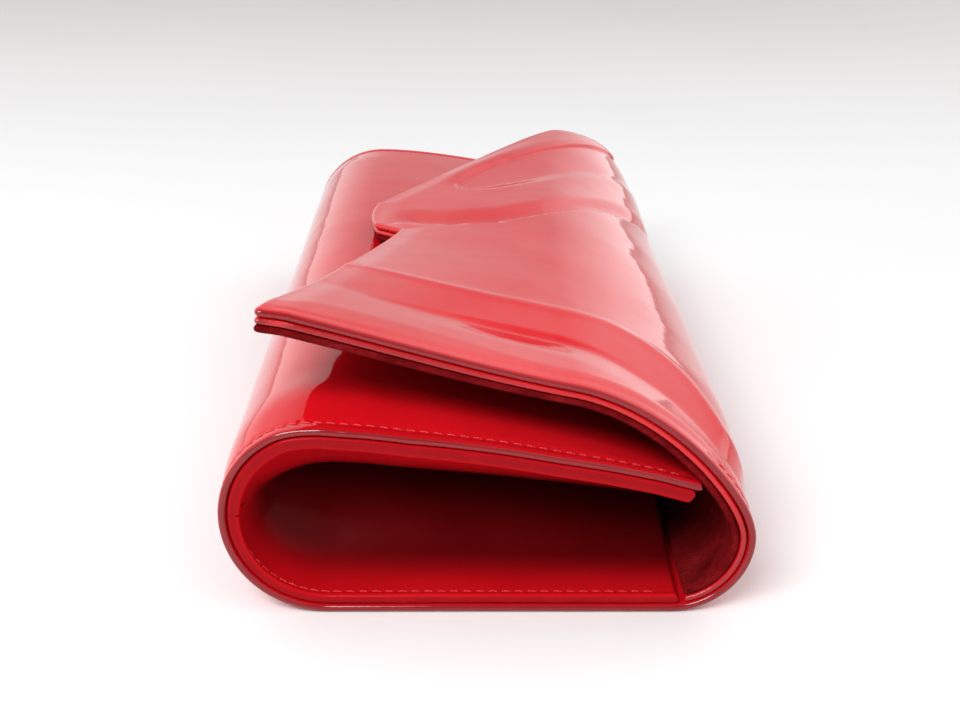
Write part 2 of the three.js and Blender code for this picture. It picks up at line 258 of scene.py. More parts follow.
def profile(x):
    """The whole outer sheet at one x, from the mouth edge to past the flap's free edge.

    Gives s, y and z, then s of the mouth edge and s of the free edge. s is 0 at the bend's middle.
    """
    key = round(float(x), 4)
    if key in _profiles:
        return _profiles[key]
    end = (x + HALF) / (2 * HALF)
    mouth = np.array([MOUTH_Y, MOUTH_Z[0] + (MOUTH_Z[1] - MOUTH_Z[0]) * end])
    t = np.linspace(-0.03, 1, 420)[:, None]
    top = 2 * BEND_RADIUS
    front = (1 - t) ** 2 * mouth + 2 * t * (1 - t) * np.array([-10, top]) + t * t * np.array([BEND_Y, top])
    a = np.linspace(math.pi / 2, 1.5 * math.pi, 361)[1:, None]
    centre = np.array([BEND_Y, BEND_RADIUS])
    bend = centre + BEND_RADIUS * np.hstack([np.cos(a), np.sin(a)])
    middle = len(front) + len(bend) // 2 - 1
    back_y = np.linspace(BEND_Y, FOLD_Y, 260)[1:]
    back = np.stack([back_y, np.zeros_like(back_y)], 1)
    a = np.linspace(-math.pi / 2, 0, 130)[1:, None]
    fold = np.array([FOLD_Y, FOLD_RADIUS]) + FOLD_RADIUS * np.hstack([np.cos(a), np.sin(a)])
    rise = 22 - 10 * smooth((x - 92) / 42) + 8 * smooth((-x - 30) / 90)
    z = flap_height(x, FLAP_Y)
    slope = flap_height(x, FLAP_Y + 0.5) - flap_height(x, FLAP_Y - 0.5)
    reach = 24 + 3 * smooth((-x - 30) / 90)
    side = FOLD_Y + FOLD_RADIUS
    over = bezier(
        [(side, FOLD_RADIUS), (side, FOLD_RADIUS + rise), (FLAP_Y + reach, z + slope * reach), (FLAP_Y, z)],
        np.linspace(0, 1, 300)[1:],
    )
    flap_y = np.arange(FLAP_Y - 0.25, NEAR_TIP_Y - 8, -0.25)
    flap = np.stack([flap_y, flap_height(x, flap_y)], 1)
    p = np.concatenate([front, bend, back, fold, over, flap])
    step = np.hypot(*np.diff(p, axis=0).T)
    s = np.concatenate([[0], np.cumsum(step)])
    s -= s[middle]
    upper = p[:, 0] < side - 1e-6
    upper[: middle + PAST_FOLD] = False
    edge = float(np.interp(-float(free_edge(x)), -p[upper, 0], s[upper]))
    tangent = np.gradient(p, s, axis=0)
    tangent /= np.linalg.norm(tangent, axis=1)[:, None]
    normal = np.stack([tangent[:, 1], -tangent[:, 0]], 1)
    p = p + normal * relief(x, s, edge)[:, None]
    mouth = float(np.interp(0, t[:, 0], s[: len(front)]))
    _profiles[key] = (s, p[:, 0], p[:, 1], mouth, edge)
    return _profiles[key]


def mouth_s(x):
    return profile(x)[3]


def edge_s(x):
    return profile(x)[4]


def shell(xs, S):
    """Points of the outer sheet: xs has a value for each column, S one for each row and column."""
    P = np.empty(S.shape + (3,))
    for j, x in enumerate(xs):
        s, y, z = profile(x)[:3]
        P[:, j, 0] = x
        P[:, j, 1] = np.interp(S[:, j], s, y)
        P[:, j, 2] = np.interp(S[:, j], s, z)
    return P


def outward(xs, S, h=0.4):
    """Unit normals of the outer sheet, pointing out of the purse."""
    along_s = shell(xs, S + h) - shell(xs, S - h)
    along_x = shell(np.asarray(xs) + h, S) - shell(np.asarray(xs) - h, S)
    n = np.cross(along_s, along_x)
    return n / np.linalg.norm(n, axis=2)[..., None]


BEND_S = math.pi / 2 * BEND_RADIUS
STRIP_S = [113.1, 134.6, 154.6, 181.5]  # where the sheet is parted, beside and round the fold
FACING_S = 129.6  # where the inner plies begin
GUSSET_END_S = 127.6


# Meshes.


def make(name, points, faces, material, smooth_angle=50):
    mesh = bpy.data.meshes.new(name)
    mesh.from_pydata((np.asarray(points) * MM).tolist(), [], faces)
    mesh.validate()
    mesh.shade_smooth()
    mesh.set_sharp_from_angle(angle=math.radians(smooth_angle))
    mesh.materials.append(material)
    obj = bpy.data.objects.new(name, mesh)
    bpy.context.scene.collection.objects.link(obj)
    return obj


def slab(top, bottom, joined):
    """Points and faces of a closed slab between two grids. joined says where both share a point."""
    rows, columns = top.shape[:2]
    upper = np.arange(rows * columns).reshape(rows, columns)
    lower = upper.copy()
    free = ~joined
    lower[free] = rows * columns + np.arange(int(free.sum()))
    points = np.concatenate([top.reshape(-1, 3), bottom[free]])
    faces = []

    def face(*corners):
        kept = [int(c) for i, c in enumerate(corners) if c != corners[i - 1]]
        if len(set(kept)) == len(kept) and len(kept) > 2:
            faces.append(kept)

    for i in range(rows - 1):
        for j in range(columns - 1):
            face(upper[i, j], upper[i + 1, j], upper[i + 1, j + 1], upper[i, j + 1])
            face(lower[i, j], lower[i, j + 1], lower[i + 1, j + 1], lower[i + 1, j])
    for j in range(columns - 1):
        face(upper[0, j], upper[0, j + 1], lower[0, j + 1], lower[0, j])
        face(upper[-1, j], lower[-1, j], lower[-1, j + 1], upper[-1, j + 1])
    for i in range(rows - 1):
        face(upper[i, 0], lower[i, 0], lower[i + 1, 0], upper[i + 1, 0])
        face(upper[i, -1], upper[i + 1, -1], lower[i + 1, -1], lower[i, -1])
    return points, faces


def half_of(span):
    """Half of a ply's thickness."""
    return (span[1] - span[0]) / 2


def roundness(d, half):
    """0 where d is 0 and 1 where it is half or more, along a quarter of a circle."""
    return np.sqrt(np.clip(1 - (1 - np.clip(d / half, 0, 1)) ** 2, 0, 1))


TURN = 1 - np.cos(np.radians([0, 12, 26, 42, 60, 90]))  # rows or columns across a rounded rim


def columns_for(inset, half, extra=(), step=4.0):
    """x of each column: a rounded rim at both ends, close columns beside it, and wider ones between."""
    close = [2, 2.4, 2.8, 3.1, 3.4, 3.7, 4, 4.4, 4.8, 5.4, 6.2, 7.2, 8.4, 10, 12, 14.5]
    d = list(inset + half * TURN) + [inset + c for c in close if c > half + 0.2]
    near = HALF - np.array(d)
    inner = near[-1]
    middle = np.linspace(-inner, inner, int(2 * inner / step) + 1)[1:-1]
    xs = np.concatenate([-near, middle, near[::-1], np.asarray(extra, float)])
    xs = np.unique(np.round(xs, 3))
    keep = np.concatenate([[True], np.diff(xs) > 0.04])
    return xs[keep]


def pucker(xs, S, edge_distance):
    """The stitched groove on a ply's outside: it dips, and pinches at each stitch hole."""
    groove = np.exp(-(((edge_distance - STITCH_INSET) / 0.95) ** 2))
    pinch = 0.62 + 0.38 * np.cos(2 * math.pi * S / STITCH)
    swell = 0.12 * np.exp(-(((edge_distance - 1.6) / 0.8) ** 2))
    return swell - 0.36 * groove * pinch


def ply(name, xs, S, span, material, round_s=(False, False), dress=None):
    """A closed sheet of leather or cloth between two depths under the outer sheet's surface."""
    half = half_of(span)
    middle = (span[1] + span[0]) / 2
    P = shell(xs, S)
    N = outward(xs, S)
    X = np.broadcast_to(np.asarray(xs), S.shape)
    share = roundness(X - xs[0], half) * roundness(xs[-1] - X, half)
    if round_s[0]:
        share = share * roundness(S - S[0], half)
    if round_s[1]:
        share = share * roundness(S[-1] - S, half)
    h = (half * share)[..., None]
    top = P - N * (middle - h)
    bottom = P - N * (middle + h)
    if dress is not None:
        top = top + N * (dress(X, S) * np.minimum(share * 1.5, 1))[..., None]
    points, faces = slab(top, bottom, share < 1e-6)
    return make(name, points, faces, material)


def rows_between(a, b, step, start=False, stop=False):
    """Row positions from a to b, with close rows at ends that are cut."""
    rows = np.linspace(a, b, max(2, int(round((b - a) / step)) + 1))
    extra = [a + 0.15, a + 0.4] if start else []
    extra += [b - 0.15, b - 0.4] if stop else []
    return np.unique(np.round(np.concatenate([rows, extra]), 3))


# Stitches.

# One stitch's rings: distance along it, radius, and height.
CAPSULE = [
    (-1.2, 0.05, -0.3), (-1.05, 0.15, -0.12), (-0.7, 0.21, 0.0), (0, 0.24, 0.06),
    (0.7, 0.21, 0.0), (1.05, 0.15, -0.12), (1.2, 0.05, -0.3),
]
STITCH_SUNK = 0.2


def capsules(centres, ways, normals, scale=1.0):
    """Points and faces of one short arched thread at each centre."""
    sides = 8
    points = []
    faces = []
    a = np.linspace(0, 2 * math.pi, sides, endpoint=False)
    for c, t, n in zip(centres, ways, normals):
        t = t / np.linalg.norm(t)
        n = n / np.linalg.norm(n)
        b = np.cross(t, n)
        slant = t + 0.10 * b
        base = len(points)
        for along, radius, lift in CAPSULE:
            ring = c + scale * (slant * along + n * lift)
            points.extend(ring + scale * radius * (math.cos(k) * b + math.sin(k) * n) for k in a)
        for ring in range(len(CAPSULE) - 1):
            for k in range(sides):
                p = base + ring * sides + k
                q = base + ring * sides + (k + 1) % sides
                faces.append([p, q, q + sides, p + sides])
        last = base + (len(CAPSULE) - 1) * sides
        faces.append([base + k for k in reversed(range(sides))])
        faces.append([last + k for k in range(sides)])
    return points, faces


def stitch_row(x, s_values):
    """Centres, ways and normals of stitches along the outer sheet at one x."""
    centres, ways, normals = [], [], []
    for s in s_values:
        p = shell([x], np.array([[s]]))[0, 0]
        q = shell([x], np.array([[s + 0.8]]))[0, 0]
        n = outward([x], np.array([[s]]))[0, 0]
        centres.append(p - n * STITCH_SUNK)
        ways.append(q - p)
        normals.append(n)
    return centres, ways, normals


# Materials.


class Shader:
    """A small helper round one material's node tree."""

    def __init__(self, name):
        self.material = bpy.data.materials.new(name)
        self.material.use_nodes = True
        self.tree = self.material.node_tree
        self.out = self.tree.nodes["Principled BSDF"]
        self.place = self.node("ShaderNodeTexCoord").outputs["Object"]

    def node(self, kind, **values):
        made = self.tree.nodes.new(kind)
        for key, value in values.items():
            if key in made.inputs:
                made.inputs[key].default_value = value
            else:
                setattr(made, key, value)
        return made

    def link(self, a, b):
        self.tree.links.new(a, b)

    def noise(self, scale, detail=3.0, rough=0.5, stretch=None):
        made = self.node("ShaderNodeTexNoise", Scale=scale, Detail=detail, Roughness=rough)
        self.link(self.stretched(stretch), made.inputs["Vector"])
        return made.outputs["Fac"]

    def cells(self, scale):
        made = self.node("ShaderNodeTexVoronoi", Scale=scale)
        self.link(self.place, made.inputs["Vector"])
        return made.outputs["Distance"]

    def wave(self, scale, direction, distortion=0.0):
        made = self.node("ShaderNodeTexWave", Scale=scale, Distortion=distortion)
        made.bands_direction = direction
        self.link(self.place, made.inputs["Vector"])
        return made.outputs["Fac"]

    def stretched(self, by):
        if by is None:
            return self.place
        made = self.node("ShaderNodeMapping")
        made.inputs["Scale"].default_value = by
        self.link(self.place, made.inputs["Vector"])
        return made.outputs["Vector"]

    def along(self, axis):
        """The place on the object along X, Y or Z, in metres."""
        split = self.node("ShaderNodeSeparateXYZ")
        self.link(self.place, split.inputs[0])
        return split.outputs[axis]

    def step(self, value, low, high):
        """0 where value is below low and 1 above high, with a smooth step between."""
        made = self.node("ShaderNodeMapRange", interpolation_type="SMOOTHSTEP")
        made.inputs["From Min"].default_value = low
        made.inputs["From Max"].default_value = high
        self.link(value, made.inputs["Value"])
        return made.outputs["Result"]

    def near_ends(self, low, high):
        """0 where the object is less than low from its middle along X, and 1 beyond high."""
        away = self.node("ShaderNodeMath", operation="ABSOLUTE")
        self.link(self.along("X"), away.inputs[0])
        return self.step(away.outputs[0], low * MM, high * MM)

    def inked_and_shaded(self, tone, ink_and_shade):
        """Edge ink on the cut edges at both ends; its dark colour is also painted shade on these end faces.
        """
        dark = self.ramp(self.noise(120, 3), (0.3, ink_and_shade), (0.75, tuple(1.2 * v for v in ink_and_shade)))
        return self.mixed(self.near_ends(HALF - 0.9, HALF - 0.25), tone, dark)

    def ramp(self, value, *stops):
        made = self.node("ShaderNodeValToRGB")
        elements = made.color_ramp.elements
        while len(elements) < len(stops):
            elements.new(0.5)
        for element, (at, colour) in zip(elements, stops):
            element.position = at
            element.color = (*colour, 1)
        self.link(value, made.inputs["Fac"])
        return made.outputs["Color"]

    def spread(self, value, low, high):
        made = self.node("ShaderNodeMapRange")
        made.inputs["To Min"].default_value = low
        made.inputs["To Max"].default_value = high
        self.link(value, made.inputs["Value"])
        return made.outputs["Result"]

    def times(self, a, b):
        made = self.node("ShaderNodeMath", operation="MULTIPLY")
        for value, socket in ((a, made.inputs[0]), (b, made.inputs[1])):
            if isinstance(value, (int, float)):
                socket.default_value = value
            else:
                self.link(value, socket)
        return made.outputs[0]

    def plus(self, a, b):
        made = self.node("ShaderNodeMath", operation="ADD")
        self.link(a, made.inputs[0])
        self.link(b, made.inputs[1])
        return made.outputs[0]

    def mixed(self, factor, a, b, blend="MIX"):
        made = self.node("ShaderNodeMix", data_type="RGBA", blend_type=blend)
        if isinstance(factor, float):
            made.inputs["Factor"].default_value = factor
        else:
            self.link(factor, made.inputs["Factor"])
        self.link(a, made.inputs["A"])
        self.link(b, made.inputs["B"])
        return made.outputs[2]

    def finish(self, colour, roughness, height, distance, strength=1.0, **fixed):
        self.link(colour, self.out.inputs["Base Color"])
        self.link(roughness, self.out.inputs["Roughness"])
        bump = self.node("ShaderNodeBump", Strength=strength, Distance=distance)
        self.link(height, bump.inputs["Height"])
        self.link(bump.outputs["Normal"], self.out.inputs["Normal"])
        for key, value in fixed.items():
            self.out.inputs[key].default_value = value
        return self.material


def patent_leather():
    m = Shader("patent_leather")
    tone = m.ramp(m.noise(26, 4), (0.3, (0.52, 0.0035, 0.0075)), (0.75, (0.57, 0.006, 0.012)))
    # Edge ink on the cut ends, dark enough to be painted shade as well.
    tone = m.inked_and_shaded(tone, (0.20, 0.003, 0.006))
    rough = m.spread(m.noise(45, 5, 0.6), 0.03, 0.085)
    peel = m.times(m.noise(520, 2), 0.035)
    return m.finish(tone, rough, m.plus(m.noise(55, 2, 0.4), peel), 0.00022, 1.0, IOR=1.5)


def gusset_leather_with_painted_shade():
    """Patent leather with painted shade: darker than the panels' leather all over, and darker still deep in
    the recess, low down and away from both ends.

    Its IOR is fitted to the photo's recess, and is lower than patent leather really has.
    """
    m = Shader("gusset_leather_with_painted_shade")
    # Painted shade: this tone is darker than the panels' patent leather.
    tone = m.ramp(m.noise(26, 4), (0.3, (0.42, 0.003, 0.006)), (0.75, (0.48, 0.005, 0.010)))
    # Edge ink on the cut ends, dark enough to be painted shade as well.
    tone = m.inked_and_shaded(tone, (0.24, 0.004, 0.007))
    # Painted shade: deep in the recess and low down, the colour turns to this dark tone. lit marks where it
    # stays unshaded, near the ends and high up.
    shade = m.ramp(m.noise(40, 3), (0.3, (0.070, 0.001, 0.002)), (0.75, (0.095, 0.002, 0.003)))
    lit = m.node("ShaderNodeMath", operation="MAXIMUM")
    m.link(m.near_ends(HALF - 17, HALF - 4), lit.inputs[0])
    m.link(m.step(m.along("Z"), 24 * MM, 36 * MM), lit.inputs[1])
    colour = m.mixed(lit.outputs[0], shade, tone)
    rough = m.spread(m.noise(45, 5, 0.6), 0.16, 0.28)
    waves = m.plus(m.noise(35, 2, 0.4), m.times(m.noise(520, 2), 0.035))
    return m.finish(colour, rough, waves, 0.0004, 1.0, IOR=1.13)


def facing_leather():
    m = Shader("facing_leather")
    tone = m.ramp(m.noise(40, 4), (0.3, (0.50, 0.006, 0.010)), (0.75, (0.60, 0.012, 0.018)))
    # Edge ink on the cut ends, dark enough to be painted shade as well.
    tone = m.inked_and_shaded(tone, (0.26, 0.004, 0.007))
    rough = m.spread(m.noise(90, 4), 0.16, 0.34)
    grain = m.plus(m.times(m.cells(1500), 0.5), m.times(m.noise(300, 4), 0.6))
    return m.finish(tone, rough, grain, 0.00016, 0.8, IOR=1.5)


def suede_leather():
    m = Shader("suede")
    nap = m.noise(160, 5, 0.7, (1, 0.45, 1))
    fibre = m.noise(1900, 3, 0.8, (1, 0.25, 0.6))
    tone = m.ramp(
        nap, (0.3, (0.09, 0.0016, 0.0024)), (0.55, (0.17, 0.005, 0.007)), (0.8, (0.26, 0.012, 0.014))
    )
    fleck = m.ramp(fibre, (0.45, (0.75, 0.75, 0.75)), (0.7, (1.25, 1.2, 1.2)))
    colour = m.mixed(0.8, tone, fleck, "MULTIPLY")
    rough = m.spread(fibre, 0.85, 1.0)
    height = m.plus(m.times(nap, 0.6), fibre)
    fixed = {"Specular IOR Level": 0.03}
    return m.finish(colour, rough, height, 0.0005, 1.0, **fixed)


def woven_lining():
    m = Shader("woven_lining")
    warp = m.wave(420, "X", 0.4)
    weft = m.wave(420, "Y", 0.4)
    weave = m.times(warp, weft)
    tone = m.ramp(m.noise(30, 4), (0.3, (0.27, 0.010, 0.015)), (0.75, (0.37, 0.018, 0.024)))
    thread = m.ramp(weave, (0.0, (0.6, 0.6, 0.6)), (0.8, (1.1, 1.1, 1.1)))
    colour = m.mixed(0.7, tone, thread, "MULTIPLY")
    fixed = {"Sheen Weight": 0.15, "Specular IOR Level": 0.25}
    return m.finish(colour, m.spread(weave, 0.6, 0.85), weave, 0.0003, 0.9, **fixed)


def sewing_thread():
    m = Shader("sewing_thread")
    twist = m.wave(900, "DIAGONAL", 1.0)
    uneven = m.plus(m.times(twist, 0.5), m.times(m.noise(700, 3), 0.5))
    tone = m.ramp(uneven, (0.2, (0.42, 0.006, 0.010)), (0.8, (0.70, 0.03, 0.035)))
    return m.finish(tone, m.spread(twist, 0.22, 0.42), twist, 0.0001, 0.8, IOR=1.5)


def fibreboard():
    m = Shader("fibreboard")
    fibre = m.noise(500, 5, 0.7, (1, 0.3, 1))
    tone = m.ramp(fibre, (0.3, (0.36, 0.25, 0.14)), (0.7, (0.52, 0.38, 0.22)))
    return m.finish(tone, m.spread(fibre, 0.75, 0.95), fibre, 0.0003)


def plated_steel():
    m = Shader("plated_steel")
    brushed = m.noise(900, 3, 0.6, (1, 0.06, 1))
    tone = m.ramp(brushed, (0.3, (0.52, 0.52, 0.53)), (0.7, (0.68, 0.68, 0.69)))
    return m.finish(tone, m.spread(brushed, 0.25, 0.42), brushed, 0.00008, Metallic=1.0)


patent = patent_leather()
gusset_painted_shade_material = gusset_leather_with_painted_shade()
facing = facing_leather()
suede = suede_leather()
woven = woven_lining()
thread = sewing_thread()
board = fibreboard()
steel = plated_steel()


def place(piece, bodies, line=None):
    """Puts the piece on its body; given two bodies, only bakes its transform into its points."""
    if isinstance(bodies, str):
        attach(piece, bodies)
    else:
        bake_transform(piece)
    return piece


MOUTH_LINE = [(0, -65, 12), (0, -65, 30)]  # a line at the bend, given with the pieces that span the base and the front


def front_rows(xs, fractions):
    """Rows of the front panel: each fraction runs from the mouth edge to the top of the bend."""
    mouths = np.array([mouth_s(x) for x in xs])
    f = np.asarray(fractions)[:, None]
    return mouths[None, :] * (1 - f) - BEND_S * f


def strip_rows(xs, values):
    return np.repeat(np.asarray(values, float)[:, None], len(xs), axis=1)


def end_distance(X):
    return np.minimum(HALF - X, HALF + X)


# The one sheet of patent leather that makes the front, bend and back.
def panel_leather():
    half = half_of(SKIN)
    xs = columns_for(0, half)
    length = -BEND_S - mouth_s(0)
    close = half * TURN
    f = np.concatenate([close / length, rows_between(1.2, length, 0.8) / length])
    front = front_rows(xs, f)
    rest = strip_rows(xs, rows_between(-BEND_S, STRIP_S[0], 0.8, stop=True)[1:])
    S = np.concatenate([front, rest])
    piece = ply(
        "panel_leather", xs, S, SKIN, patent, round_s=(True, False),
        dress=lambda X, s: pucker(X, s, end_distance(X)),
    )
    place(piece, ("base", "front"), MOUTH_LINE)
    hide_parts("front_skin", "back_skin")


# Strips of the outer leather and of the plies under it, round the fold and over the flap.
PLIES = [
    ("leather", "patent", patent, SKIN, 0.0, "skin"),
    ("facing", "facing", facing, FACING, 0.35, "facing"),
    ("suede", "suede", suede, SUEDE, 0.55, "lining"),
]
STRIPS = [
    ("fold_1", STRIP_S[0], STRIP_S[1], ("base", "fold_a"), "fold_a", (2.0, 1.5)),
    ("fold_2", STRIP_S[1], STRIP_S[2], ("fold_a", "fold_b"), "fold_b", (1.0, 1.0)),
    ("fold_3", STRIP_S[2], STRIP_S[3], ("fold_b", "fold_c"), "fold_c", (1.0, 1.0)),
]
FLAP_BLEND_END = 212.0


def blend_line(a, b, depth):
    """Points at distances a and b along the sheet, under its surface."""
    S = np.array([[a], [b]])
    return (shell([0.0], S) - outward([0.0], S) * depth)[:, 0]


def strip_line(start, end, moved, depth):
    """Two points on a fold strip, under its surface: moved says how far inside its start and end."""
    return blend_line(start + moved[0], end - moved[1], depth)


def flap_line(depth):
    return blend_line(STRIP_S[3] + 1.0, FLAP_BLEND_END, depth)


def fold_strips():
    for name, start, end, bodies, node, moved in STRIPS:
        for label, slot, material, span, inset, cad_label in PLIES:
            half = half_of(span)
            outside = label == "leather"
            first = start if outside else max(start, FACING_S)
            begins = first > start
            rows = rows_between(first, end, 0.8, start=not begins, stop=True)
            if begins:
                rows = np.unique(np.concatenate([rows, first + half * TURN]))
            xs = leather_columns(inset, half) if outside else columns_for(inset, half)
            dress = (lambda X, s: pucker(X, s, end_distance(X))) if outside else None
            piece = ply(
                f"{name}_{label}", xs, strip_rows(xs, rows), span, material,
                round_s=(begins, False), dress=dress,
            )
            place(piece, bodies, strip_line(start, end, moved, span[1]))
            wanted = f"{node}_{cad_label}"
            if wanted in frame["nodes"]:
                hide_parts(wanted)


def leather_columns(inset, half):
    """Columns of the flap's and fold's outer leather, close where its relief is sharp."""
    return flap_columns(inset, half, [*np.arange(-116, 4, 1.5), *np.arange(50, 128, 0.75)])


def flap_columns(inset, half, more=()):
    corners = [NOTCH[0], NOTCH[0] - 1.2, NOTCH[0] + 1.2, LOBE[2][0], LOBE[2][0] + 2, LOBE[2][0] - 2]
    far = -HALF + np.array([1.5, 2.2, 3, 4.2, 5.6, 7, 8.4])
    lobe = np.arange(-30, 16, 2.0)
    return columns_for(inset, half, [*corners, *far, *lobe, *more], step=3.0)


def flap_rows(xs, inset, half, count):
    """S for the flap: even rows, with close ones at the cut and beside the free edge."""
    edge = np.array([edge_s(x) for x in xs]) - inset
    start = STRIP_S[3]
    early = np.array([0, 0.15, 0.4, 1.0])
    late = np.array([14, 12, 10, 8.6, 7.4, 6.4, 5.6, 5, 4.5, 4.1, 3.8, 3.4, 3, 2.7, 2.3, 1.9, 1.5])
    late = np.concatenate([late[late > half + 0.2], half * TURN[::-1]])
    f = np.linspace(0, 1, count + 2)[1:-1][:, None]
    low = start + early[-1]
    high = edge - late[0]
    middle = low * (1 - f) + high[None, :] * f
    return np.concatenate([strip_rows(xs, start + early), middle, edge[None, :] - late[:, None]])


def flap():
    for label, slot, material, span, inset, cad_label in PLIES:
        half = half_of(span)
        outside = label == "leather"
        xs = leather_columns(inset, half) if outside else flap_columns(inset, half)
        S = flap_rows(xs, inset, half, 110 if outside else 60)
        edges = S[-1]

        def dress(X, s, edges=edges):
            return 0.2 * pucker(X, s, end_distance(X)) * smooth((edges[None, :] - s - 3) / 3)

        piece = ply(
            f"flap_{label}", xs, S, span, material, round_s=(False, True),
            dress=dress if outside else None,
        )
        place(piece, ("fold_c", "flap"), flap_line(span[1]))
        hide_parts(f"flap_{cad_label}")


# Gussets: one folded piece of leather at each end.


def crease(a, end):
    """The gusset's inner fold, from the mouth at a = 0 to the bend at a = 1."""
    inner = HALF - GUSSET_DEPTH
    corners = [(inner, 45, 18), (inner, -15, 21), (inner, -40, 26), (HALF - 30, -54, 26.5)]
    p = bezier(corners, np.atleast_1d(a))
    p[:, 0] *= end
    return p


def gusset_surface(end, s_values, depth):
    """Points at the rim and on the crease, and the rim's normals, for each distance along it."""
    x = end * HALF
    S = np.asarray(s_values, float)[:, None]
    rim = shell([x], S)[:, 0]
    n = outward([x], S)[:, 0]
    n[:, 0] = 0
    n /= np.linalg.norm(n, axis=1)[:, None]
    start = rim - n * depth
    first = mouth_s(x)
    a = np.where(S[:, 0] < 0, (S[:, 0] - first) / -first, 1 - S[:, 0] / GUSSET_END_S)
    fold = crease(np.clip(a, 0, 1), end)
    # The two leaves keep 0.5 mm off the crease on either side, and close up at the bend.
    fold[:, 2] += 0.5 * np.where(S[:, 0] < 0, 1, -1) * (1 - smooth((8 - np.abs(S[:, 0])) / 8))
    return start, fold, n


def gusset_grid(end, s_values, ws, depth):
    """ws up to 1 run along the straight seam, and from 1 to 2 on to the crease."""
    start, fold, n = gusset_surface(end, s_values, depth)
    seam = start + np.array([-end * SEAM, 0, 0])
    # The upper leaf slopes down from its seam, the lower one lies flat and then climbs, and both
    # run on to the crease face to face.
    depth_in = (seam[:, 0] - fold[:, 0]) * end
    share = (depth_in / (GUSSET_DEPTH - SEAM))[:, None]
    upper = smooth(0.5 - np.asarray(s_values, float) / 30)[:, None]
    p1 = seam - n * share * (1.0 + 7.0 * upper)
    p1[:, 0] -= end * (0.42 - 0.24 * upper[:, 0]) * depth_in
    p2 = fold + (seam - fold) * 0.03
    p2[:, 0] = fold[:, 0] + end * 0.62 * depth_in
    grid = np.empty((len(start), len(ws), 3))
    for k, w in enumerate(ws):
        if w <= 1:
            grid[:, k] = start + (seam - start) * w
        else:
            t = w - 1
            u = 1 - t
            grid[:, k] = u**3 * seam + 3 * u * u * t * p1 + 3 * u * t * t * p2 + t**3 * fold
    return grid


def grid_normals(grid, sign):
    rows = np.gradient(grid, axis=0)
    cols = np.gradient(grid, axis=1)
    n = np.cross(rows, cols) * sign
    return n / np.linalg.norm(n, axis=2)[..., None]


LEAF_STEPS = np.concatenate([np.linspace(0, 0.92, 24), [0.95, 0.975, 1.0]])
GUSSET_MIDDLE = (GUSSET_PLY[0] + GUSSET_PLY[1]) / 2
GUSSET_HALF = half_of(GUSSET_PLY)
GUSSET_STITCH = 3.2  # distance of the gusset's stitches from its rim


def gusset(name, end):
    """One end's folded leather, with a butt joint in its rim at the bend's middle."""
    half = GUSSET_HALF
    first = mouth_s(end * HALF) + 0.9
    butt_joint = [-0.6, -0.3, -0.12, 0, 0.12, 0.3, 0.6]
    s_values = np.unique(np.round(np.concatenate([
        first + half * TURN, np.arange(first + 1.5, -0.9, 0.8), butt_joint,
        np.arange(0.9, GUSSET_END_S - 1.5, 0.8), GUSSET_END_S - half * TURN,
    ]), 3))
    rim = (half * TURN + 0.35) / SEAM
    rim = rim - rim[0] + 0.07
    seam = np.array([1.9, 2.3, 2.7, 3.0, 3.3, 3.7, 4.1, 4.6]) / SEAM
    ws = np.concatenate([rim, seam, 1 + LEAF_STEPS])
    grid = gusset_grid(end, s_values, ws, GUSSET_MIDDLE)
    # out points from the ply's middle towards the panel, as the panel's own normal does at the rim.
    out = grid_normals(grid, -end)
    S = np.repeat(s_values[:, None], len(ws), axis=1)
    W = np.repeat(ws[None, :], len(s_values), axis=0)
    from_rim = (W - ws[0]) * SEAM
    share = roundness(from_rim, half)
    share = share * roundness(S - S[0], half) * roundness(S[-1] - S, half)
    share = share * np.where(W > 1, 1 - 0.45 * smooth(W - 1), 1)
    pinch = 0.6 + 0.4 * np.cos(2 * math.pi * S / STITCH)
    groove = np.exp(-(((W * SEAM - GUSSET_STITCH) / 0.8) ** 2)) * pinch
    butt = 0.9 * np.exp(-((S / 0.3) ** 2)) * (W < 1.2)
    uneven = 0.12 * np.sin(S / 13 + 1.1) * smooth((W - 1) / 0.3) + 0.08 * np.sin(S / 7.3 + W * 3)
    uneven = uneven * (W > 1)
    bead = (0.5 + 1.1 * smooth((30 - S) / 60)) * share * (1 - smooth((W * SEAM - 1.6) / 1.2))
    inside = half * share + bead - 0.26 * groove - butt * share + uneven
    inner = grid - out * inside[..., None]
    outer = grid + out * (half * share - uneven)[..., None]
    points, faces = slab(outer, inner, share < 1e-6)
    if end < 0:
        faces = [f[::-1] for f in faces]
    piece = make(name + "_gusset_leather", points, faces, gusset_painted_shade_material)
    place(piece, ("base", "front"), MOUTH_LINE)
    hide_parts(f"{name}_gusset_front_leaf", f"{name}_gusset_back_leaf")
    return grid, out, s_values, ws


def gusset_lining(name, end, grid, out, s_values, ws):
    """Cloth on the side of the gusset's leather that faces the compartment, one sheet a leaf."""
    rows = (s_values > s_values[0] + 6) & (s_values < s_values[-1] - 6)
    cols = (ws > 1.2) & (ws < 1.96)
    base = grid[rows][:, cols]
    way = out[rows][:, cols]
    top = base + way * (GUSSET_HALF + 0.75)
    bottom = base + way * (GUSSET_HALF + 0.25)
    s = s_values[rows]
    bare = 14  # no cloth this near the bend's middle
    for leaf, kept in (("front", s < -bare), ("back", s > bare)):
        points, faces = slab(top[kept], bottom[kept], np.zeros(top[kept].shape[:2], bool))
        if end < 0:
            faces = [f[::-1] for f in faces]
        piece = make(f"{name}_gusset_{leaf}_cloth", points, faces, woven)
        place(piece, ("base", "front"), MOUTH_LINE)
        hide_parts(f"{name}_gusset_{leaf}_lining")


